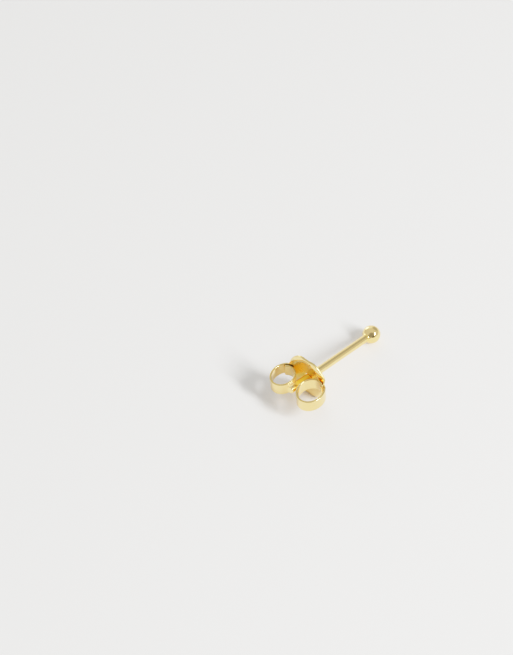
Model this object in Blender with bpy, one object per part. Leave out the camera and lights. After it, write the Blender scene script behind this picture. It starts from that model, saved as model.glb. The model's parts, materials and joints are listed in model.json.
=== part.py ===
"""Ball stud earring with its butterfly back, in gold-plated silver, lying on a flat surface.

The stud is one piece of metal: a plain ball, the straight post soldered into it and the little
ring of solder between the two. The butterfly back is one stamped blank: an upright plate with a
hole for the post and a narrow tongue on either side, each curled into a scroll that grips the post.

Two frames are used. The earring's own frame has X along the post from the centre of the ball to
the tail, Y across it from scroll to scroll, and Z up the plate. The world frame has the surface
at Z = 0, the ball towards -X and the tail towards +X. The earring rests on its ball and on the
lower edge of the plate, so the post climbs a little towards its tail.
"""
import math

import bmesh
import bpy
from mathutils import Matrix, Vector

MM = 0.001

# The stud
BALL_DIAMETER = 1.75 * MM
POST_DIAMETER = 0.76 * MM
POST_LENGTH = 11.2 * MM         # from the ball's surface to the tip of the tail
TAIL_ROUNDING = 0.14 * MM       # radius at the rim of the tail's end
SOLDER_HEIGHT = 0.14 * MM       # how far the ring of solder climbs along the post

# The blank of the butterfly back, laid out flat
SHEET = 0.19 * MM               # thickness of the metal
PLATE_HEIGHT = 4.92 * MM        # between the plate's upper and lower edge
PLATE_LENGTH = 4.33 * MM        # from one tongue's root to the other
PLATE_FLAT = 1.5 * MM           # straight stretch of the upper and lower edge, which it stands on
TONGUE_WIDTH = 1.3 * MM
ROOT_BLEND = 0.22 * MM          # softness of the inside corner between plate and tongue

# The scrolls
SCROLL_RADIUS = 1.27 * MM       # of the sheet's middle where the curl starts, across the post
SCROLL_DEPTH = 1.49 * MM        # the same along the post, where a scroll is a little longer
SCROLL_TURN = math.radians(392)

# How the two pieces sit together
LOBE_GAP = 8.55 * MM            # along the post, from the ball to the middle of the plate's face
HOLE_CLEARANCE = 0.05 * MM      # all round the post in the plate's hole
GRIP_CLEARANCE = 0.08 * MM      # from each scroll to the post
CURL_CLEARANCE = 0.06 * MM      # from a scroll's end to the sheet that it tucks inside
BACK_DROOP = math.radians(15)   # the scrolls' weight turns the back down in its loose hole

# How finely the round shapes are divided
ROUND_SEGMENTS = 40
BALL_RINGS = 22
CORNER_RINGS = 4
FLAT_COLUMNS = 6
SCROLL_COLUMNS = 58
PLATE_ROWS = 8

BALL_RADIUS = BALL_DIAMETER / 2
POST_RADIUS = POST_DIAMETER / 2
TAIL_X = BALL_RADIUS + POST_LENGTH
PLATE_X = BALL_RADIUS + LOBE_GAP + SHEET / 2
CURL_STEP = (SHEET + CURL_CLEARANCE) / (2 * math.pi)   # loss of radius for each radian of curl


def clear_scene():
    """Removes whatever the opened file holds."""
    for thing in list(bpy.data.objects):
        bpy.data.objects.remove(thing, do_unlink=True)


def gold(name, colour, roughness):
    """A polished metal material."""
    material = bpy.data.materials.new(name)
    material.use_nodes = True
    shader = material.node_tree.nodes["Principled BSDF"]
    shader.inputs["Base Color"].default_value = (*colour, 1.0)
    shader.inputs["Metallic"].default_value = 1.0
    shader.inputs["Roughness"].default_value = roughness
    return material


def add_object(name, mesh, material, parent):
    """Links a mesh to the scene under its parent, shaded smooth with its sharp edges kept."""
    mesh.shade_smooth()
    mesh.set_sharp_from_angle(angle=math.radians(35))
    piece = bpy.data.objects.new(name, mesh)
    bpy.context.scene.collection.objects.link(piece)
    piece.parent = parent
    if material:
        piece.data.materials.append(material)
    return piece


def add_empty(name, matrix, parent=None):
    """A reference frame that pieces are parented to."""
    empty = bpy.data.objects.new(name, None)
    empty.empty_display_size = 2 * MM
    bpy.context.scene.collection.objects.link(empty)
    empty.parent = parent
    empty.matrix_local = matrix
    return empty


def stud_profile():
    """The stud's outline as (x, radius) pairs, from the ball's front pole to the middle of the tail.

    The solder is a quarter round that leaves the ball's surface and runs out along the post.
    """
    meet_radius = POST_RADIUS + SOLDER_HEIGHT
    meet_angle = math.asin(min(meet_radius / BALL_RADIUS, 0.95))
    points = []
    for ring in range(BALL_RINGS + 1):
        angle = math.pi - (math.pi - meet_angle) * ring / BALL_RINGS
        points.append((BALL_RADIUS * math.cos(angle), BALL_RADIUS * math.sin(angle)))
    meet_x, meet_radius = points[-1]
    for ring in range(1, CORNER_RINGS + 1):
        angle = math.pi / 2 * ring / CORNER_RINGS
        points.append((
            meet_x + 1.6 * SOLDER_HEIGHT * (1 - math.cos(angle)),
            POST_RADIUS + (meet_radius - POST_RADIUS) * (1 - math.sin(angle)),
        ))
    rounding = min(TAIL_ROUNDING, 0.9 * POST_RADIUS)
    for ring in range(CORNER_RINGS + 1):
        angle = math.pi / 2 * ring / CORNER_RINGS
        points.append((
            TAIL_X - rounding * (1 - math.sin(angle)),
            POST_RADIUS - rounding * (1 - math.cos(angle)),
        ))
    points.append((TAIL_X, 0.0))
    points[0] = (-BALL_RADIUS, 0.0)
    return points


def turned_mesh(name, profile):
    """Turns an (x, radius) profile about the X axis into one closed surface."""
    shape = bmesh.new()
    chain = [shape.verts.new((x, 0.0, radius)) for x, radius in profile]
    edges = [shape.edges.new(pair) for pair in zip(chain, chain[1:])]
    bmesh.ops.spin(
        shape,
        geom=chain + edges,
        cent=(0, 0, 0),
        axis=(1, 0, 0),
        angle=2 * math.pi,
        steps=ROUND_SEGMENTS,
        use_merge=True,
    )
    bmesh.ops.remove_doubles(shape, verts=shape.verts, dist=1e-7)
    bmesh.ops.recalc_face_normals(shape, faces=shape.faces)
    mesh = bpy.data.meshes.new(name)
    shape.to_mesh(mesh)
    shape.free()
    return mesh


def curl(turn):
    """The (x, y) run of a tongue that has curled by `turn` radians since it left the plate.

    The radius shrinks evenly with the turn, so the curl tucks inside its own start:
    y is the integral of (R - k t) cos t, and x that of (R - k t) sin t, stretched along the post.
    """
    across = SCROLL_RADIUS * math.sin(turn) - CURL_STEP * (turn * math.sin(turn) + math.cos(turn) - 1)
    along = SCROLL_RADIUS * (1 - math.cos(turn)) - CURL_STEP * (math.sin(turn) - turn * math.cos(turn))
    return SCROLL_DEPTH / SCROLL_RADIUS * along, across


def sheet_line():
    """The middle of the sheet seen from above, from the plate's centre to the tongue's end.

    Each entry is (x, y, s), where s is the length of sheet from the centre. The scroll starts
    just far enough out that its inner side clears the post by the grip clearance. One entry falls
    where the plate's straight edge ends, so that the edge keeps its whole length.
    """
    runs = [curl(SCROLL_TURN * column / SCROLL_COLUMNS) for column in range(SCROLL_COLUMNS + 1)]
    innermost = min(across for along, across in runs)
    start = POST_RADIUS + GRIP_CLEARANCE + SHEET / 2 - innermost
    edge = min(PLATE_FLAT / 2, 0.6 * start)
    line = [(0.0, 0.0, 0.0)]
    for column in range(FLAT_COLUMNS):
        y = edge + (start - edge) * column / FLAT_COLUMNS
        line.append((0.0, y, y))
    length = start
    for column, (along, across) in enumerate(runs):
        if column:
            length += math.dist(runs[column], runs[column - 1])
        line.append((along, start + across, length))
    return line


def half_height(s, end):
    """Half the blank's height at a length s from its centre.

    The plate is an ellipse with its top and bottom cut straight. It blends into the tongue by a
    smooth maximum, and the tongue's last stretch is rounded off.
    """
    reach = PLATE_LENGTH / 2
    crown = PLATE_HEIGHT / 2 / math.sqrt(1 - (PLATE_FLAT / PLATE_LENGTH) ** 2)
    ellipse = crown * math.sqrt(max(0.0, 1 - (s / reach) ** 2))
    plate = min(ellipse, PLATE_HEIGHT / 2)
    tongue = TONGUE_WIDTH / 2
    blended = (plate + tongue + math.hypot(plate - tongue, ROOT_BLEND)) / 2
    rounding = 0.3 * tongue
    left = max(0.0, end - s)
    if left < rounding:
        blended -= rounding * (1 - math.sqrt(1 - (1 - left / rounding) ** 2))
    return min(blended, PLATE_HEIGHT / 2)


def back_mesh(name):
    """The curled blank as a single layer of faces, ready to be given its thickness."""
    half = sheet_line()
    end = half[-1][2]
    columns = [(x, -y, s) for x, y, s in reversed(half[1:])] + half
    shape = bmesh.new()
    rows = []
    for x, y, s in columns:
        height = half_height(s, end)
        rows.append([
            shape.verts.new((x, y, height * (2 * row / PLATE_ROWS - 1)))
            for row in range(PLATE_ROWS + 1)
        ])
    for near, far in zip(rows, rows[1:]):
        for row in range(PLATE_ROWS):
            shape.faces.new((near[row], near[row + 1], far[row + 1], far[row]))
    mesh = bpy.data.meshes.new(name)
    shape.to_mesh(mesh)
    shape.free()
    return mesh


def lowest(piece, matrix):
    """The lowest point of a piece's finished shape once it is placed by a matrix."""
    return min((matrix @ vertex.co).z for vertex in piece.vertices)


def evaluated_mesh(piece):
    """A copy of a piece's mesh with its modifiers applied, in the piece's own frame."""
    graph = bpy.context.evaluated_depsgraph_get()
    return bpy.data.meshes.new_from_object(piece.evaluated_get(graph))


def resting_tilt(stud_shape, back_shape, back_place):
    """How far the post climbs when the ball and the plate's edge both touch the surface.

    Tilting the post up lifts the plate off, so the right angle is found by halving.
    """
    low, high = 0.0, math.radians(60)
    for _ in range(50):
        tilt = (low + high) / 2
        turn = Matrix.Rotation(-tilt, 4, "Y")
        if lowest(back_shape, turn @ back_place) > lowest(stud_shape, turn):
            high = tilt
        else:
            low = tilt
    return (low + high) / 2


def main():
    clear_scene()
    stud_gold = gold("stud_gold", (0.83, 0.62, 0.27), 0.12)
    back_gold = gold("back_gold", (0.80, 0.57, 0.22), 0.16)

    post_axis = add_empty("post_axis", Matrix.Identity(4))
    back_place = Matrix.Translation((PLATE_X, 0, 0)) @ Matrix.Rotation(BACK_DROOP, 4, "Y")
    back_axis = add_empty("back_axis", back_place, post_axis)

    stud = add_object("ball_stud", turned_mesh("ball_stud", stud_profile()), stud_gold, post_axis)

    back = add_object("butterfly_back", back_mesh("butterfly_back"), back_gold, back_axis)
    sheet = back.modifiers.new("sheet", "SOLIDIFY")
    sheet.thickness = SHEET
    sheet.offset = 0
    sheet.use_even_offset = True

    hole_radius = POST_RADIUS + HOLE_CLEARANCE
    hole_shape = bmesh.new()
    bmesh.ops.create_cone(
        hole_shape,
        cap_ends=True,
        segments=ROUND_SEGMENTS,
        radius1=hole_radius,
        radius2=hole_radius,
        depth=6 * SHEET,
        matrix=Matrix.Rotation(math.pi / 2, 4, "Y"),
    )
    hole_mesh = bpy.data.meshes.new("post_hole")
    hole_shape.to_mesh(hole_mesh)
    hole_shape.free()
    hole = add_object("post_hole", hole_mesh, None, post_axis)
    hole.location = (PLATE_X, 0, 0)
    hole.hide_render = True
    hole.display_type = "WIRE"
    cut = back.modifiers.new("post_hole", "BOOLEAN")
    cut.operation = "DIFFERENCE"
    cut.object = hole

    bpy.context.view_layer.update()
    stud_shape = evaluated_mesh(stud)
    back_shape = evaluated_mesh(back)
    tilt = resting_tilt(stud_shape, back_shape, back_place)
    turn = Matrix.Rotation(-tilt, 4, "Y")
    corners = [turn @ vertex.co for vertex in stud_shape.vertices]
    corners += [turn @ back_place @ vertex.co for vertex in back_shape.vertices]
    middle = Vector((
        (min(point.x for point in corners) + max(point.x for point in corners)) / 2,
        (min(point.y for point in corners) + max(point.y for point in corners)) / 2,
        min(point.z for point in corners),
    ))
    post_axis.matrix_world = Matrix.Translation(-middle) @ turn
    bpy.data.meshes.remove(stud_shape)
    bpy.data.meshes.remove(back_shape)


main()
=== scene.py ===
# %% [markdown]
# This lesson dresses a ball stud earring that lies on a white table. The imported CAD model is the
# frame: it says where each piece sits and how the back slides. Here both pieces are made again,
# finer, with soft edges and a polished gold finish, and they ride on the bodies of the frame.

# %% Load the frame and keep its box
import json
import math

import bmesh
import bpy
import numpy as np
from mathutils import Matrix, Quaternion, Vector


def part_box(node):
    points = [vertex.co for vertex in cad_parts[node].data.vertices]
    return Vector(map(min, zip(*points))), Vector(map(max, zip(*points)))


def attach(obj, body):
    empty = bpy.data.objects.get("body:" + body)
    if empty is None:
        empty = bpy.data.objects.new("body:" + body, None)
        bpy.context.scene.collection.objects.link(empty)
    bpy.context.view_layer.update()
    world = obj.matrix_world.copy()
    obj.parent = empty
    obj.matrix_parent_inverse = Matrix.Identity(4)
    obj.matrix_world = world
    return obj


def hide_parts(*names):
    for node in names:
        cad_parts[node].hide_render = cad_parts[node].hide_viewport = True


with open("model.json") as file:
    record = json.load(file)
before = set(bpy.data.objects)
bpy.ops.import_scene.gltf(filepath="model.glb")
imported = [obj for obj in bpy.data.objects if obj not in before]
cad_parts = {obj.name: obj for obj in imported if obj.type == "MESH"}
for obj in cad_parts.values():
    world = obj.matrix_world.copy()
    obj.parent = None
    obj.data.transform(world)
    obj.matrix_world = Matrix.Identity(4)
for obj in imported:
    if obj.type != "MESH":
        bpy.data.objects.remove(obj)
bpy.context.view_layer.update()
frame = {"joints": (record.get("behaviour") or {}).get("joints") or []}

MM = 0.001

# %% [markdown]
# Everything on this earring is placed along its post. The frame's only joint slides along the
# post, so its axis gives the post's direction. The ball touches the table, so its centre is one
# radius up and one radius in from the end of the box. A point given as (along the post, across,
# up the plate) then becomes a point of the scene by one turn about the Y axis and one move.

# %% Find the post
BALL_RADIUS = 0.875 * MM
post_direction = np.array(frame["joints"][0]["axis"])
stud_low, stud_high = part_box("ball_stud")
ball_centre = np.array([stud_low.x + BALL_RADIUS, 0.0, stud_low.z + BALL_RADIUS])


def turned_down(points, angle):
    """Turns points about the Y axis: x' = x cos a + z sin a, z' = z cos a - x sin a."""
    x, y, z = points.T
    turned_x = x * math.cos(angle) + z * math.sin(angle)
    turned_z = z * math.cos(angle) - x * math.sin(angle)
    return np.stack([turned_x, y, turned_z], axis=1)


post_climb = math.asin(post_direction[2])
print("post climbs by degrees:", round(math.degrees(post_climb), 2), "ball centre mm:", ball_centre / MM)

# %% [markdown]
# A camera shows small things without distortion when it stands far off with a long lens. This one
# stands a quarter of a metre away, 47 degrees above the table, and looks at a bare spot in front of
# the earring, so the earring lies a little to the right of the middle of the picture.

# %% Place the camera
LOOK_AT = Vector((ball_centre[0] + 5.993 * MM, -9.344 * MM, 0.0))
CAMERA_DISTANCE = 250 * MM
CAMERA_ELEVATION = math.radians(47)
CAMERA_SIDE = math.radians(41.5)        # from the +X axis towards the +Y axis
CAMERA_LENS = 182.456                   # millimetres, on a sensor 36 mm wide

to_camera = Vector((
    math.cos(CAMERA_ELEVATION) * math.cos(CAMERA_SIDE),
    math.cos(CAMERA_ELEVATION) * math.sin(CAMERA_SIDE),
    math.sin(CAMERA_ELEVATION),
))
camera_data = bpy.data.cameras.new("camera")
camera_data.sensor_fit = "HORIZONTAL"
camera_data.sensor_width = 36.0
camera_data.lens = CAMERA_LENS
camera_data.clip_start = 1 * MM
camera = bpy.data.objects.new("camera", camera_data)
bpy.context.scene.collection.objects.link(camera)
camera.location = LOOK_AT + CAMERA_DISTANCE * to_camera
camera.rotation_euler = to_camera.to_track_quat("Z", "Y").to_euler()
bpy.context.scene.camera = camera
print("camera at mm:", [round(v / MM, 2) for v in camera.location])

# %% [markdown]
# Polished gold on a white table is bright nearly everywhere. A camera records such a scene on a curve
# that bends softly to white: each colour channel follows 1 - exp(-light). Red gets there first, then
# green, then blue, and that is why gold looks cream where it is bright and orange where it is dark.
# Curve mapping draws that bend before the Standard view turns the values to screen colours. Light
# is also let bounce six times between mirrors, since it runs to and fro inside the scrolls. What is
# left after that is only red, and the narrow gaps of the real thing look dark, so it stops there.

# %% Expose the picture
BRIGHTEST = 6.0                         # light that counts as full white
CURVE_MARKS = 13
view = bpy.context.scene.view_settings
view.view_transform = "Standard"
view.use_curve_mapping = True
film = view.curve_mapping
film.white_level = (BRIGHTEST, BRIGHTEST, BRIGHTEST)
light = BRIGHTEST * np.linspace(0, 1, CURVE_MARKS) ** 2
density = (1 - np.exp(-light)) / (1 - math.exp(-BRIGHTEST))
marks = film.curves[3].points
for _ in range(CURVE_MARKS - len(marks)):
    marks.new(0.5, 0.5)
for mark, x, y in zip(marks, light / BRIGHTEST, density):
    mark.location = (x, y)
film.update()

bounces = bpy.context.scene.cycles
bounces.max_bounces = 16
bounces.glossy_bounces = 6
bounces.diffuse_bounces = 6
print("a white table at light 2 is shown at:", round(float(np.interp(2, light, density)), 3))

# %% [markdown]
# Colours are written as the hex values that a colour picker gives, which are sRGB. Blender computes
# with linear light, so one function turns them. Another small one adds a shader node, sets what it
# is told and joins its inputs, which keeps each material readable from top to bottom.

# %% Helpers for colours and nodes
BOARD_WHITE = "F0EFEC"


def linear(hex_text):
    """The linear colour of an sRGB hex value: each channel is raised by the sRGB curve."""
    srgb = np.array([int(hex_text[i:i + 2], 16) for i in (0, 2, 4)]) / 255
    channels = np.where(srgb <= 0.04045, srgb / 12.92, ((srgb + 0.055) / 1.055) ** 2.4)
    return (*channels.tolist(), 1.0)


def add_node(tree, kind, settings=None, inputs=None):
    """Adds a node, sets its properties, and fills or links its inputs, given by name or number."""
    node = tree.nodes.new(kind)
    for key, value in (settings or {}).items():
        setattr(node, key, value)
    for key, value in (inputs or {}).items():
        if isinstance(value, bpy.types.NodeSocket):
            tree.links.new(value, node.inputs[key])
        else:
            node.inputs[key].default_value = value
    return node


print("white board, linear:", [round(v, 3) for v in linear(BOARD_WHITE)[:3]])

# %% [markdown]
# The table is a sheet of matt white board. It could be a box, but only its top is ever seen, so one
# wide square does. It is rough and hardly shines, as uncoated board is, so its colour is what the
# soft shadows fall on. It is no part of the earring.

# %% Lay the table
TABLE_HALF = 600 * MM
table_mesh = bpy.data.meshes.new("table")
table_mesh.from_pydata(
    [(-TABLE_HALF, -TABLE_HALF, 0), (TABLE_HALF, -TABLE_HALF, 0),
     (TABLE_HALF, TABLE_HALF, 0), (-TABLE_HALF, TABLE_HALF, 0)],
    [], [(0, 1, 2, 3)],
)
table = bpy.data.objects.new("table", table_mesh)
bpy.context.scene.collection.objects.link(table)

board = bpy.data.materials.new("matt_white_board")
board.use_nodes = True
board_shader = board.node_tree.nodes["Principled BSDF"]
board_shader.inputs["Base Color"].default_value = linear(BOARD_WHITE)
board_shader.inputs["Roughness"].default_value = 0.9
board_shader.inputs["Specular IOR Level"].default_value = 0.2
table_mesh.materials.append(board)
print("table is mm wide:", round(2 * TABLE_HALF / MM))

# %% [markdown]
# Polished gold shows its surroundings, so the room matters as much as the lamp. It is an even white
# studio with a few soft patches in it: a window and pale walls, which give the ball and the post
# their cream stripes, and a tripod, a curtain and a corner, which give the dark ones. A picture of a
# room would do too, but patches are easy to move until each stripe sits right. One long oval
# softbox stands to the side, about 35 degrees up, and casts the soft shadow.

# %% Light the room
ROOM_HEIGHTS = [(0.0, 0.95), (0.5, 1.02), (0.8, 1.04), (1.0, 1.12)]
# Each patch of the room: side and elevation of its middle, half its width in degrees, its light.
ROOM_PATCHES = {
    "pale wall": (232, 22, 26, 1.7),
    "window": (253, 13, 13, 6.0),
    "low wall": (2, 3, 18, 1.8),
    "dark corner": (182, 30, 24, 0.65),
    "tripod": (42, 38, 30, 0.40),
    "dark curtain": (65, 6, 17, 0.20),
}
PATCH_EDGE, PATCH_CORE = 1.35, 0.65     # a patch fades between these shares of its half width

world = bpy.data.worlds.new("studio")
bpy.context.scene.world = world
world.use_nodes = True
sky = world.node_tree
sky.nodes.clear()


def direction(side, elevation):
    """The unit vector at `side` degrees round the table, from +X to +Y, and `elevation` degrees up."""
    side, elevation = math.radians(side), math.radians(elevation)
    level = math.cos(elevation)
    return Vector((level * math.cos(side), level * math.sin(side), math.sin(elevation)))


where = add_node(sky, "ShaderNodeTexCoord").outputs["Generated"]
split = add_node(sky, "ShaderNodeSeparateXYZ", inputs={0: where})
ramp = add_node(sky, "ShaderNodeValToRGB", inputs={0: split.outputs["Z"]})
while len(ramp.color_ramp.elements) < len(ROOM_HEIGHTS):
    ramp.color_ramp.elements.new(0.5)
for element, (height, grey) in zip(ramp.color_ramp.elements, ROOM_HEIGHTS):
    element.position = height
    element.color = (grey, grey, grey, 1)

room = ramp.outputs["Color"]
for side, elevation, spread, grey in ROOM_PATCHES.values():
    towards = add_node(sky, "ShaderNodeVectorMath", {"operation": "DOT_PRODUCT"}, {
        0: where, 1: direction(side, elevation),
    })
    share = add_node(sky, "ShaderNodeMapRange", {"interpolation_type": "SMOOTHSTEP"}, {
        "Value": towards.outputs["Value"],
        "From Min": math.cos(math.radians(PATCH_EDGE * spread)),
        "From Max": math.cos(math.radians(PATCH_CORE * spread)),
    })
    patch = add_node(sky, "ShaderNodeMix", {"data_type": "RGBA"}, {
        0: share.outputs["Result"], 6: room, 7: (grey, grey, grey, 1),
    })
    room = patch.outputs[2]
glow = add_node(sky, "ShaderNodeBackground", inputs={"Color": room, "Strength": 1.0})
add_node(sky, "ShaderNodeOutputWorld", inputs={"Surface": glow.outputs["Background"]})


def softbox(name, side, elevation, distance, length, width, lean, power):
    """A long lamp that faces the earring, its length leaning `lean` degrees from the level."""
    data = bpy.data.lights.new(name, "AREA")
    data.shape = "ELLIPSE"
    data.size = length
    data.size_y = width
    data.energy = power
    lamp = bpy.data.objects.new(name, data)
    bpy.context.scene.collection.objects.link(lamp)
    towards = direction(side, elevation)
    lamp.location = distance * towards
    aim = towards.to_track_quat("Z", "Y") @ Quaternion((0, 0, 1), math.radians(lean))
    lamp.rotation_euler = aim.to_euler()
    return lamp


key = softbox("key", side=98, elevation=35, distance=500 * MM,
              length=270 * MM, width=90 * MM, lean=58, power=5.1)
print("patches in the room:", list(ROOM_PATCHES), "key at mm:", [round(v / MM) for v in key.location])

# %% [markdown]
# The finish is gold plate on sterling silver. Gold has no colour of its own under its shine: what
# looks yellow is the reflection itself, because gold sends back nearly all the red of the light,
# most of the green and little of the blue. Light that bounces twice between golden walls loses
# blue twice, which makes the deep orange inside the scrolls. So the shader is a bare metal with
# the right tint, and the room does most of the rest. Two marks are painted on the back as well: a
# deeper orange in the hollow between the scrolls, a painted reflection of golden walls, and a
# darker tint on the rims, a painted dark reflection.

# %% Mix the gold plate
CLOUD_SCALE = 0.9 / MM                  # clouds of tint and gloss, about 1 mm across
WAVE_SCALE = 1.4 / MM                   # the soft waviness that polishing leaves
WAVE_DEPTH = 0.02 * MM
LINE_GAP = 0.12 * MM                    # lines of the work: really a few hundredths of a millimetre
LINE_DEPTH = 0.003 * MM                 # apart, drawn this coarse so that they show
RECESS_DULL, RIM_DULL = 0.2, 0.18       # roughness added in recesses and on the sheared rims


def gold_plate(name, tint, cloud_tint, solder_and_painted_reflection_tint, painted_rim_reflection_tint, roughness, line_length):
    """Polished gold plate: clouds of tint and gloss, a soft waviness, and fine lines of the work.

    The lines run along the first coordinate of the attribute `work`. Another attribute, from 0 to 1,
    marks the stud's solder joint, whose own tint is a little deeper, and the hollow of the back
    between its scrolls, where the deeper orange is a painted reflection of the golden walls round
    it. Both are duller there.
    The attribute `rim` marks the sheared edges of the sheet, which tumbling left soft and duller;
    the darker tint on them is a painted dark reflection.
    """
    material = bpy.data.materials.new(name)
    material.use_nodes = True
    nodes = material.node_tree
    shader = nodes.nodes["Principled BSDF"]
    shader.inputs["Metallic"].default_value = 1.0
    place = add_node(nodes, "ShaderNodeTexCoord").outputs["Object"]
    solder_and_painted_reflection = add_node(nodes, "ShaderNodeAttribute", {"attribute_name": "solder_and_painted_reflection"}).outputs["Fac"]
    rim = add_node(nodes, "ShaderNodeAttribute", {"attribute_name": "rim"}).outputs["Fac"]

    clouds = add_node(nodes, "ShaderNodeTexNoise", inputs={
        "Vector": place, "Scale": CLOUD_SCALE, "Detail": 3.0,
    })
    cloudy = add_node(nodes, "ShaderNodeMix", {"data_type": "RGBA"}, {
        0: clouds.outputs["Fac"], 6: linear(tint), 7: linear(cloud_tint),
    })
    # The solder's own deeper tint on the stud; on the back, a painted reflection: deeper orange in the
    # hollow.
    deep = add_node(nodes, "ShaderNodeMix", {"data_type": "RGBA"}, {
        0: solder_and_painted_reflection, 6: cloudy.outputs[2], 7: linear(solder_and_painted_reflection_tint),
    })
    # Painted dark reflection: the rims of the sheet get a darker tint.
    edged = add_node(nodes, "ShaderNodeMix", {"data_type": "RGBA"}, {
        0: rim, 6: deep.outputs[2], 7: linear(painted_rim_reflection_tint),
    })
    nodes.links.new(edged.outputs[2], shader.inputs["Base Color"])

    gloss = add_node(nodes, "ShaderNodeMapRange", inputs={
        "Value": clouds.outputs["Fac"], "From Min": 0.3, "From Max": 0.7,
        "To Min": roughness * 0.7, "To Max": roughness * 1.3,
    })
    dull = add_node(nodes, "ShaderNodeMath", {"operation": "MULTIPLY_ADD"}, {
        0: solder_and_painted_reflection, 1: RECESS_DULL, 2: gloss.outputs["Result"],
    })
    duller = add_node(nodes, "ShaderNodeMath", {"operation": "MULTIPLY_ADD", "use_clamp": True}, {
        0: rim, 1: RIM_DULL, 2: dull.outputs["Value"],
    })
    nodes.links.new(duller.outputs["Value"], shader.inputs["Roughness"])

    waves = add_node(nodes, "ShaderNodeTexNoise", inputs={
        "Vector": place, "Scale": WAVE_SCALE, "Detail": 1.0,
    })
    wavy = add_node(nodes, "ShaderNodeBump", inputs={
        "Strength": 1.0, "Distance": WAVE_DEPTH, "Height": waves.outputs["Fac"],
    })
    course = add_node(nodes, "ShaderNodeAttribute", {"attribute_name": "work"})
    stretched = add_node(nodes, "ShaderNodeMapping", inputs={
        "Vector": course.outputs["Vector"], "Scale": (1 / line_length, 1 / LINE_GAP, 1 / LINE_GAP),
    })
    lines = add_node(nodes, "ShaderNodeTexNoise", inputs={
        "Vector": stretched.outputs["Vector"], "Scale": 1.0, "Detail": 2.0,
    })
    lined = add_node(nodes, "ShaderNodeBump", inputs={
        "Strength": 1.0, "Distance": LINE_DEPTH, "Height": lines.outputs["Fac"],
        "Normal": wavy.outputs["Normal"],
    })
    nodes.links.new(lined.outputs["Normal"], shader.inputs["Normal"])
    return material


stud_finish = gold_plate("polished_gold_plate", tint="FFDE98", cloud_tint="FFDA8A", solder_and_painted_reflection_tint="FCD26E",
                         painted_rim_reflection_tint="FFDE98", roughness=0.05, line_length=2.5 * MM)
# On the back, the deeper orange of the hollow between the scrolls is a painted reflection.
back_finish = gold_plate("gold_plate_on_stamped_sheet", tint="FFDE98", cloud_tint="FEDA8E",
                         # The back's darker rim tint is a painted dark reflection on the sheared edges.
                         solder_and_painted_reflection_tint="FCD75C", painted_rim_reflection_tint="D9BC74", roughness=0.09, line_length=1.8 * MM)
print("finishes:", stud_finish.name, back_finish.name)

# %% [markdown]
# The ball and its post are soldered, so they are one piece. Both are round about the same line, so
# the whole stud is a lathe shape: an outline of (distance along, radius) pairs is turned about the
# post. The solder makes a small hollow curve that leaves the ball and meets the post without a
# corner. Its centre is found from the two circles that must touch: it lies one post radius plus
# one fillet radius from the axis, and one ball radius plus one fillet radius from the ball.

# %% Draw the stud's outline
POST_RADIUS = 0.38 * MM
POST_LENGTH = 11.2 * MM
SOLDER_FILLET = 0.34 * MM
TAIL_ROUNDING = 0.14 * MM
BALL_STEPS, SOLDER_STEPS, POST_STEPS, TAIL_STEPS = 72, 14, 38, 8


def arc(centre_x, centre_r, radius, start, end, steps):
    """Points of a circle: x = cx + r cos a, radius = cr + r sin a, from one angle to another."""
    angle = np.linspace(start, end, steps)
    return np.stack([centre_x + radius * np.cos(angle), centre_r + radius * np.sin(angle)], axis=1)


fillet_r = POST_RADIUS + SOLDER_FILLET
fillet_x = math.sqrt((BALL_RADIUS + SOLDER_FILLET) ** 2 - fillet_r ** 2)
touch = math.atan2(fillet_r, fillet_x)
tail = BALL_RADIUS + POST_LENGTH
post_x = np.linspace(fillet_x, tail - TAIL_ROUNDING, POST_STEPS + 2)[1:-1]
outline = np.concatenate([
    arc(0, 0, BALL_RADIUS, math.pi, touch, BALL_STEPS)[1:],
    arc(fillet_x, fillet_r, SOLDER_FILLET, math.pi + touch, 1.5 * math.pi, SOLDER_STEPS)[1:],
    np.stack([post_x, np.full(POST_STEPS, POST_RADIUS)], axis=1),
    arc(tail - TAIL_ROUNDING, POST_RADIUS - TAIL_ROUNDING, TAIL_ROUNDING, math.pi / 2, 0, TAIL_STEPS),
])
print("outline points:", len(outline), "solder meets the post at mm:", round(fillet_x / MM, 3))

# %% [markdown]
# Turning the outline gives rings of points, joined by quads, with a fan of triangles at either pole.
# The Screw modifier could turn it too, but whole arrays keep each point's place along the post at
# hand, and the finish needs that. Both pieces are put into the scene by the same function, which
# closes seams, turns faces outwards and says which body of the frame the piece rides on.

# %% Turn the outline and place the stud
AROUND = 96
SOLDER_REACH = 0.16 * MM                # how far the duller tint of the solder spreads along the post
SOLDER_RECESS = 0.8


def grid_faces(index, wrap=False):
    """Quads between the neighbouring rows and columns of an array of vertex numbers."""
    if wrap:
        index = np.concatenate([index, index[:, :1]], axis=1)
    corners = [index[:-1, :-1], index[1:, :-1], index[1:, 1:], index[:-1, 1:]]
    return np.stack(corners, axis=-1).reshape(-1, 4).tolist()


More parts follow.
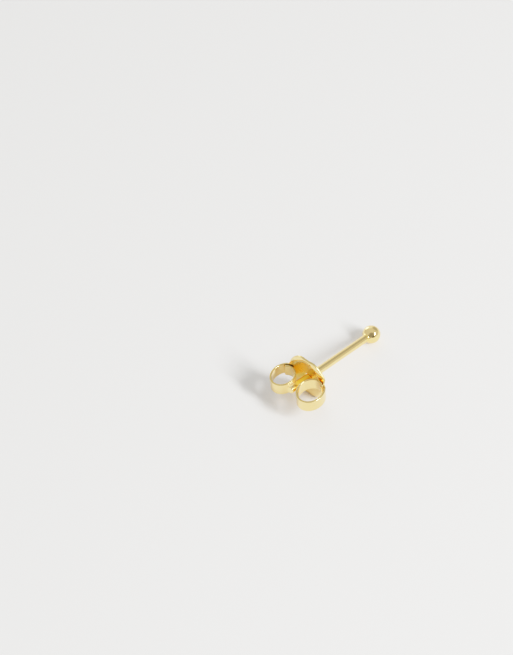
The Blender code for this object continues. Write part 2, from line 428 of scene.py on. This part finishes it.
def add_piece(name, points, faces, marks, finish, body, node):
    """Makes a closed mesh with its faces outwards, smooth, and hangs it on a body of the frame.

    `marks` holds an array for each attribute: a number for each point, or a vector of three.
    """
    mesh = bpy.data.meshes.new(name)
    mesh.from_pydata(points.tolist(), [], faces)
    for mark, values in marks.items():
        kind, field = ("FLOAT", "value") if values.ndim == 1 else ("FLOAT_VECTOR", "vector")
        attribute = mesh.attributes.new(mark, kind, "POINT")
        attribute.data.foreach_set(field, values.astype(np.float32).ravel())
    shape = bmesh.new()
    shape.from_mesh(mesh)
    bmesh.ops.remove_doubles(shape, verts=shape.verts, dist=1e-5 * MM)
    bmesh.ops.recalc_face_normals(shape, faces=shape.faces)
    open_edges = sum(not edge.is_manifold for edge in shape.edges)
    volume = shape.calc_volume(signed=True)
    shape.to_mesh(mesh)
    shape.free()
    mesh.shade_smooth()
    mesh.materials.append(finish)
    piece = bpy.data.objects.new(name, mesh)
    bpy.context.scene.collection.objects.link(piece)
    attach(piece, body)
    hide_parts(node)
    print(name, "faces:", len(faces), "open edges:", open_edges)
    print(name, "volume mm3:", round(volume / MM ** 3, 3))
    return piece


angle = np.linspace(0, 2 * math.pi, AROUND, endpoint=False)
along, radius = outline.T
rings = np.stack([
    np.repeat(along[:, None], AROUND, axis=1),
    radius[:, None] * np.cos(angle),
    radius[:, None] * np.sin(angle),
], axis=-1)
stud_points = np.concatenate([rings.reshape(-1, 3), [(-BALL_RADIUS, 0, 0), (tail, 0, 0)]])
numbers = np.arange(len(outline) * AROUND).reshape(-1, AROUND)
stud_faces = grid_faces(numbers, wrap=True)
ball_pole, tail_pole = len(stud_points) - 2, len(stud_points) - 1
stud_faces += [(ball_pole, a, b) for a, b in zip(numbers[0], np.roll(numbers[0], -1))]
stud_faces += [(tail_pole, b, a) for a, b in zip(numbers[-1], np.roll(numbers[-1], -1))]
solder_ring = np.exp(-((stud_points[:, 0] - fillet_x) / SOLDER_REACH) ** 2)
stud_marks = {"work": stud_points, "solder_and_painted_reflection": SOLDER_RECESS * solder_ring, "rim": 0 * solder_ring}
stud_points = turned_down(stud_points, -post_climb) + ball_centre
add_piece(
    "polished_ball_stud", stud_points, stud_faces, stud_marks, stud_finish,
    "stud", "ball_stud",
)

# %% [markdown]
# The butterfly back is stamped from sheet as one flat blank: a round plate with a tongue on either
# side. Each tongue is then curled into a scroll whose outer wall leans on the post like a spring.
# So it is made in the same order. First the blank is drawn flat, as a half height for each length
# from its centre. Then the plate is pressed to a shallow cup with a soft rim, as the stamp does, and
# every point is carried onto the curled line of the sheet. Pliers close the scrolls one by one, so
# the right one is a little wider here and stands a little higher than the left one.

# %% Measure the blank
SHEET = 0.19 * MM
EDGE = 0.05 * MM                        # radius of the tumbled edges of the sheet
PLATE_HEIGHT = 4.92 * MM
PLATE_LENGTH = 4.33 * MM
PLATE_FLAT = 1.5 * MM                   # the straight stretch that it stands on
PLATE_CORNER = 0.09 * MM                # how softly the straight stretch turns into the round
TONGUE_WIDTH = 1.3 * MM
TONGUE_ROUNDING = 0.3                   # rounding of the tongue's end, as a share of half its width
ROOT_BLEND = 0.22 * MM
CUP = 0.28 * MM                         # how deep the plate is cupped, its middle towards the lobe
CUP_BLEND = 0.05                        # how softly the cup runs out at the rim
ROLL, ROLL_SHARE = 0.17 * MM, 0.2       # the soft roll of its rim, over a fifth of the way in
ROLL_FADE = 0.5 * MM                    # the roll fades out over this height beside a tongue

print("plate mm:", round(PLATE_LENGTH / MM, 2), "by", round(PLATE_HEIGHT / MM, 2))

# %% [markdown]
# A scroll is a spiral: a circle whose radius shrinks evenly, so that the tongue's end slips inside
# the wall that it has come from. It is drawn as a long row of points, with the length of the sheet
# up to each, and any point of the blank then finds its place by looking up its own length. That is
# quicker than bending a mesh with a modifier, and the sheet keeps its exact length.

# %% Curl the line of the sheet
SCROLL_RADIUS = 1.27 * MM
SCROLL_DEPTH = 1.49 * MM
SCROLL_TURN = math.radians(404)
SCROLL_STEPS = 3000
GRIP_CLEARANCE = 0.08 * MM
CURL_CLEARANCE = 0.06 * MM
RIGHT_SIZE, LEFT_SIZE = 1.02, 0.96      # the scrolls are bent by hand tools, so they differ a little
RIGHT_LIFT, LEFT_LIFT = 0.34 * MM, -0.06 * MM
RIGHT_CLIMB, LEFT_CLIMB = 0.30 * MM, 0.0
LIFT_LENGTH = 1.5 * MM

turn = np.linspace(0, SCROLL_TURN, SCROLL_STEPS)
shrink = (SHEET + CURL_CLEARANCE) / (2 * math.pi)
stretch = SCROLL_DEPTH / SCROLL_RADIUS
curl_y = SCROLL_RADIUS * np.sin(turn) - shrink * (turn * np.sin(turn) + np.cos(turn) - 1)
curl_x = stretch * (SCROLL_RADIUS * (1 - np.cos(turn)) - shrink * (np.sin(turn) - turn * np.cos(turn)))
start = POST_RADIUS + GRIP_CLEARANCE + SHEET / 2 - curl_y.min()
steps = np.hypot(np.diff(curl_x), np.diff(curl_y))
curl_s = start + np.concatenate([[0], np.cumsum(steps)])
blank_end = curl_s[-1]
print("half a blank is mm long:", round(blank_end / MM, 3), "the curl starts at:", round(start / MM, 3))


def onto_scroll(length, z, n, size, fixed, lift, climb):
    """Carries points of one half of the blank onto its curled line, seen from above.

    The length picks a place and a heading on the line. The depth is laid off square to the heading,
    towards the inside of the scroll. The scroll is `size` times the drawn one, grown from the wall at
    `fixed`, and rises by `lift` over the first stretch of its length. From half a turn on it climbs on
    evenly, like a spring, by `climb` at its end.
    """
    line_s = np.concatenate([[0], curl_s])
    x = np.interp(length, line_s, np.concatenate([[0], size * curl_x]))
    y = np.interp(length, line_s, np.concatenate([[0], start + fixed + size * (curl_y - fixed)]))
    heading = np.interp(length, line_s, np.concatenate([[0], turn]))
    head_x, head_y = stretch * np.sin(heading), np.cos(heading)
    head = np.hypot(head_x, head_y)
    risen = np.clip((length - start) / LIFT_LENGTH, 0, 1)
    coiled = np.clip((heading - math.pi) / (SCROLL_TURN - math.pi), 0, 1)
    raised = z + lift * risen ** 2 * (3 - 2 * risen) + climb * coiled
    return x + n * head_y / head, y - n * head_x / head, raised


def onto_sheet(s, z, n):
    """Carries points of the blank, at length s, height z and depth n, onto the curled sheet.

    The right scroll, y > 0, grows outwards from its wall beside the post, the left one inwards.
    """
    right = onto_scroll(np.abs(s), z, n, RIGHT_SIZE, curl_y.min(), RIGHT_LIFT, RIGHT_CLIMB)
    left = onto_scroll(np.abs(s), z, n, LEFT_SIZE, curl_y.max(), LEFT_LIFT, LEFT_CLIMB)
    x, y, z = np.where(s > 0, right, left)
    return np.stack([x, np.sign(s) * y, z], axis=-1)


# %% [markdown]
# The blank's outline is an ellipse cut straight at top and bottom, which is what the earring stands
# on, and blended softly into the tongues. It could be drawn as a curve and filled, but a formula
# for the half height gives every section its size at once. The stamp's cup is a second formula.

# %% Shape the blank's outline and its cup
def half_height(s):
    """Half the blank's height at a length s: an ellipse cut straight, blended into the tongue."""
    reach = PLATE_LENGTH / 2
    crown = PLATE_HEIGHT / 2 / math.sqrt(1 - (PLATE_FLAT / PLATE_LENGTH) ** 2)
    ellipse = crown * np.sqrt(np.maximum(0, 1 - (s / reach) ** 2))
    top = PLATE_HEIGHT / 2
    plate = (ellipse + top - np.hypot(ellipse - top, PLATE_CORNER)) / 2
    tongue = TONGUE_WIDTH / 2
    blended = (plate + tongue + np.hypot(plate - tongue, ROOT_BLEND)) / 2
    end = TONGUE_ROUNDING * tongue
    left = np.clip((blank_end - np.abs(s)) / end, 0, 1)
    return blended - end * (1 - np.sqrt(1 - (1 - left) ** 2))


def cup(s, z):
    """How deep the plate is pressed at a point, towards the lobe, with r = 1 on the plate's rim.

    The middle is cupped, by CUP (1 - r^2.8). The last stretch of the rim, beyond r = 1 - ROLL_SHARE,
    is rolled the same way by ROLL t^2, where t runs from 0 to 1 over it. The tongues have no roll.
    """
    inside = 1 - ((s / start) ** 2 + (z / (PLATE_HEIGHT / 2)) ** 2) ** 1.4
    share = np.hypot(s / (PLATE_LENGTH / 2), z / (PLATE_HEIGHT / 2))
    rolled = np.clip((share - 1 + ROLL_SHARE) / ROLL_SHARE, 0, 1.1)
    free = np.clip((np.abs(z) - TONGUE_WIDTH / 2) / ROLL_FADE, 0, 1)
    pressed = CUP * (inside + np.hypot(inside, CUP_BLEND)) / 2
    return pressed + ROLL * rolled ** 2 * free ** 2 * (3 - 2 * free)


print("half heights mm, plate and tongue:", np.round(half_height(np.array([0, start + 1 * MM])) / MM, 3))
print("plate is cupped by mm:", round(float(cup(0, 0)) / MM, 3))

# %% [markdown]
# A section through the sheet is a long rectangle with rounded edges. One loop of points runs round
# it, and the same loop is repeated at every station along the blank, stretched to the height there.
# At the tongue's end the loop shrinks inwards along a quarter circle, so the end is rounded too.

# %% Build the sheet from its sections
HOLE_CELLS = 16                         # cells along each side of the window round the post's hole
OUTER_ROWS = 17
EDGE_STEPS = 4                          # points round a quarter of the sheet's edge
PLATE_STATIONS, CURL_STATIONS, END_STATIONS = 12, 170, 7

window = PLATE_FLAT / 2
window_share = window / (PLATE_HEIGHT / 2 - EDGE)
inner_rows = np.linspace(0, window_share, HOLE_CELLS // 2 + 1)
outer_rows = window_share + (1 - window_share) * np.sin(np.linspace(0, math.pi / 2, OUTER_ROWS + 1))[1:]
upper = np.concatenate([inner_rows, outer_rows])
rows = np.concatenate([-upper[:0:-1], upper])
flat_rows, one_edge = np.zeros(len(rows)), np.ones(2 * EDGE_STEPS)
quarter = np.linspace(0, math.pi / 2, EDGE_STEPS + 1)
turn_out = np.concatenate([quarter[1:], quarter + math.pi / 2])[:-1]
depth_sign = np.concatenate([np.ones(EDGE_STEPS), -np.ones(EDGE_STEPS)])
loop_high = np.concatenate([rows, one_edge, rows[::-1], -one_edge])
loop_round = np.concatenate([flat_rows, np.sin(turn_out), flat_rows, -np.sin(turn_out)])
loop_side = np.concatenate([flat_rows + 1, depth_sign, flat_rows - 1, -depth_sign])
loop_deep = np.concatenate([flat_rows + 1, np.cos(turn_out), flat_rows - 1, -np.cos(turn_out)])

hole_stations = np.linspace(0, window, HOLE_CELLS // 2 + 1)
plate_stations = np.linspace(window, start, PLATE_STATIONS + 2)[1:-1]
curl_stations = np.interp(np.linspace(0, SCROLL_TURN, CURL_STATIONS), turn, curl_s)[:-1]
curl_stations = curl_stations[curl_stations < blank_end - 1.2 * EDGE]
closing = np.linspace(0, math.pi / 2, END_STATIONS)
end_stations = blank_end - EDGE + EDGE * np.sin(closing)
half_line = np.concatenate([hole_stations, plate_stations, curl_stations, end_stations])
half_round = np.concatenate([np.full(len(half_line) - END_STATIONS, EDGE), EDGE * np.cos(closing)])
stations = np.concatenate([-half_line[:0:-1], half_line])
rounding = np.concatenate([half_round[:0:-1], half_round])
heights = half_height(stations)
print("stations:", len(stations), "points round a section:", len(loop_high))

grid_s = np.repeat(stations[:, None], len(loop_high), axis=1)
grid_z = loop_high * (heights[:, None] - EDGE) + loop_round * rounding[:, None]
grid_n = loop_side * (SHEET / 2 - EDGE) + loop_deep * rounding[:, None]
blank_points = np.stack([grid_s, grid_z, grid_n], axis=-1)

# %% [markdown]
# The post goes through a punched hole. A square window is left open in the rows and columns of the
# plate, and a tube of rings closes it: from the window's edge inwards over the front face, round
# the hole's soft rim, through the metal, and out again to the same window on the back face. The
# back has drooped on the post, so the hole runs slantwise through the sheet, along the post. A
# boolean would cut it too, but it leaves long thin faces that show in a polished plate.

# %% Leave a window and thread the hole
BACK_DROOP = math.radians(15)
HOLE_RADIUS = POST_RADIUS + 0.05 * MM
HOLE_EDGE = 0.025 * MM
RING_SHARES = [0.8, 0.6, 0.4, 0.2]      # rings on the face, as shares of the way out to the window
BEND_STEPS = 5

around = len(loop_high)
across = len(rows)
last_row = 2 * across + 2 * EDGE_STEPS - 1
middle, level = len(half_line) - 1, len(upper) - 1
half = HOLE_CELLS // 2
count = np.arange(HOLE_CELLS)
edge_i = np.concatenate([
    middle - half + count, np.full(HOLE_CELLS, middle + half),
    middle + half - count, np.full(HOLE_CELLS, middle - half),
])
edge_j = np.concatenate([
    np.full(HOLE_CELLS, level - half), level - half + count,
    np.full(HOLE_CELLS, level + half), level + half - count,
])
facing_j = last_row - edge_j
edge_s, edge_z = grid_s[edge_i, edge_j], grid_z[edge_i, edge_j]
out = np.stack([edge_s, edge_z]) / np.hypot(edge_s, edge_z)

bend = np.linspace(0, math.pi / 2, BEND_STEPS)
on_face = np.ones(len(RING_SHARES))
ring_share = np.concatenate([RING_SHARES, np.zeros(BEND_STEPS)])
ring_depth = np.concatenate([SHEET / 2 * on_face, SHEET / 2 - HOLE_EDGE * (1 - np.cos(bend))])
rim_radius = HOLE_RADIUS + HOLE_EDGE
ring_radius = np.concatenate([rim_radius * on_face, HOLE_RADIUS + HOLE_EDGE * (1 - np.sin(bend))])
ring_share = np.concatenate([ring_share, ring_share[::-1]])[:, None]
ring_depth = np.concatenate([ring_depth, -ring_depth[::-1]])[:, None]
ring_radius = np.concatenate([ring_radius, ring_radius[::-1]])[:, None]
circle_s = out[0] * ring_radius
circle_z = out[1] * ring_radius / math.cos(BACK_DROOP) + (ring_depth - CUP) * math.tan(BACK_DROOP)
ring_s = circle_s + (edge_s - circle_s) * ring_share
ring_z = circle_z + (edge_z - circle_z) * ring_share
ring_points = np.stack([ring_s, ring_z, ring_depth + 0 * ring_s], axis=-1)

numbers = np.arange(len(stations) * around).reshape(-1, around)
cells_i, cells_j = np.meshgrid(np.arange(len(stations) - 1), np.arange(around), indexing="ij")
front = np.abs(cells_j + 0.5 - level) < half
behind = np.abs(last_row - cells_j - 0.5 - level) < half
in_window = (np.abs(cells_i + 0.5 - middle) < half) & (front | behind)
sheet_faces = np.array(grid_faces(numbers, wrap=True))[~in_window.ravel()].tolist()
tube = numbers.size + np.arange(ring_s.size).reshape(ring_s.shape)
tube = np.concatenate([numbers[edge_i, edge_j][None], tube, numbers[edge_i, facing_j][None]])
sheet_faces += grid_faces(tube, wrap=True)
for section in (numbers[0], numbers[-1]):
    far_side = section[across + 2 * EDGE_STEPS:2 * across + 2 * EDGE_STEPS]
    sheet_faces += grid_faces(np.stack([section[:across], far_side[::-1]]))
print("hole of mm:", round(2 * HOLE_RADIUS / MM, 2), "rings:", len(tube), "faces:", len(sheet_faces))

# %% [markdown]
# Before the blank is bent, each point is told what the finish needs to know. Its flat place gives
# the lines of the work, which follow the strip round its curls. In the hollow of the plate between
# the scrolls, on its face towards them and above a foot a little below the post, a deeper orange is
# painted: a painted reflection of the golden walls round it. The sheared rim is where the section is
# round, and its darker tint is a painted dark reflection. Then the plate is cupped, the tongues are
# curled, and the whole back is turned by its droop and set on the post.

# %% Curl the blank and set it on the post
LOBE_GAP = 8.55 * MM                    # from the ball to the plate
# These place the painted reflection, a deeper orange, in the hollow of the plate.
PAINTED_REFLECTION_START, PAINTED_REFLECTION_FADE = 0.95, 0.3   # as shares of the way out to the plate's rim
PAINTED_REFLECTION_FOOT = 1.2                       # millimetres below the post, where the hollow has faded out

flat = np.concatenate([blank_points.reshape(-1, 3), ring_points.reshape(-1, 3)])
share = np.hypot(flat[:, 0] / (PLATE_LENGTH / 2), flat[:, 1] / (PLATE_HEIGHT / 2))
towards_rim = np.clip((PAINTED_REFLECTION_START - share) / PAINTED_REFLECTION_FADE, 0, 1)
above_foot = np.clip(flat[:, 1] / MM + PAINTED_REFLECTION_FOOT, 0, 1)
# Painted reflection: deeper orange between the scrolls, on the face towards them, fading to the rim and
# below the post.
painted_reflection_share = towards_rim * above_foot * (flat[:, 2] > 0)
# The rim mask carries duller roughness and a darker tint, which is a painted dark reflection.
sheared = np.abs(loop_round)[None, :] * (rounding[:, None] > 0)
back_marks = {
    "work": flat.copy(),
    "solder_and_painted_reflection": painted_reflection_share * painted_reflection_share * (3 - 2 * painted_reflection_share),
    "rim": np.concatenate([sheared.ravel(), np.zeros(ring_s.size)]),
}
flat[:, 2] -= cup(flat[:, 0], flat[:, 1])
curled = onto_sheet(*flat.T)
plate_x = BALL_RADIUS + LOBE_GAP + SHEET / 2
back_points = turned_down(curled, BACK_DROOP - post_climb) + ball_centre + plate_x * post_direction
add_piece(
    "stamped_butterfly_back", back_points, sheet_faces, back_marks, back_finish,
    "back", "butterfly_back",
)
